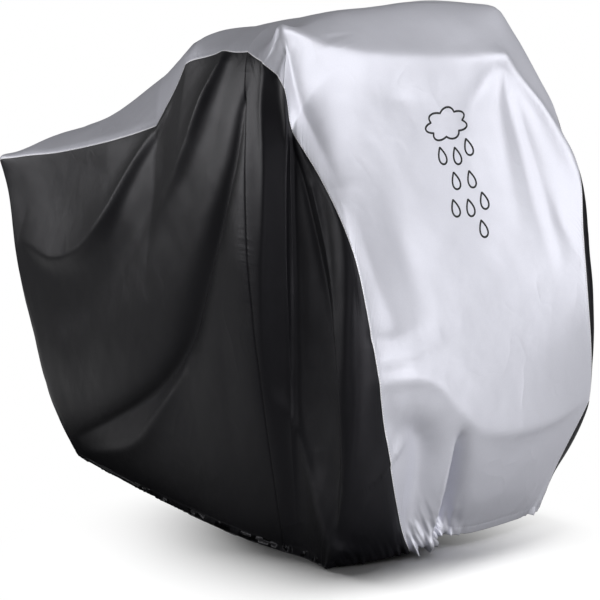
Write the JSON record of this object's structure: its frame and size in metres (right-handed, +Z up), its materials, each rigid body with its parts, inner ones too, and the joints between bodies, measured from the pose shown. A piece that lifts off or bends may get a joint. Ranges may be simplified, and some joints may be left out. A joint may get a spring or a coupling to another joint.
{
  "type": "bicycle cover",
  "caption": "Fitted cloth cover as it hangs over standing bicycles: a hollow drape with a silver centre strip, black side panels and a drawn-in hem, open underneath.",
  "frame": {"origin": "centre of the bounding box's underside, on the floor that the side hems touch", "axes": "+X towards the handlebar end, +Y towards the right side, +Z up"},
  "size_m": [1.7432, 0.851, 1.2172],
  "materials": {
    "silver_cloth": "silver-coated polyester, satin",
    "black_cloth": "coated polyester, soft sheen"
  },
  "bodies": {
    "root": {"silver_centre_strip": "silver_cloth", "black_left_rear_panel": "black_cloth", "black_left_front_panel": "black_cloth", "black_right_rear_panel": "black_cloth", "black_right_front_panel": "black_cloth"}
  },
  "joints": []
}
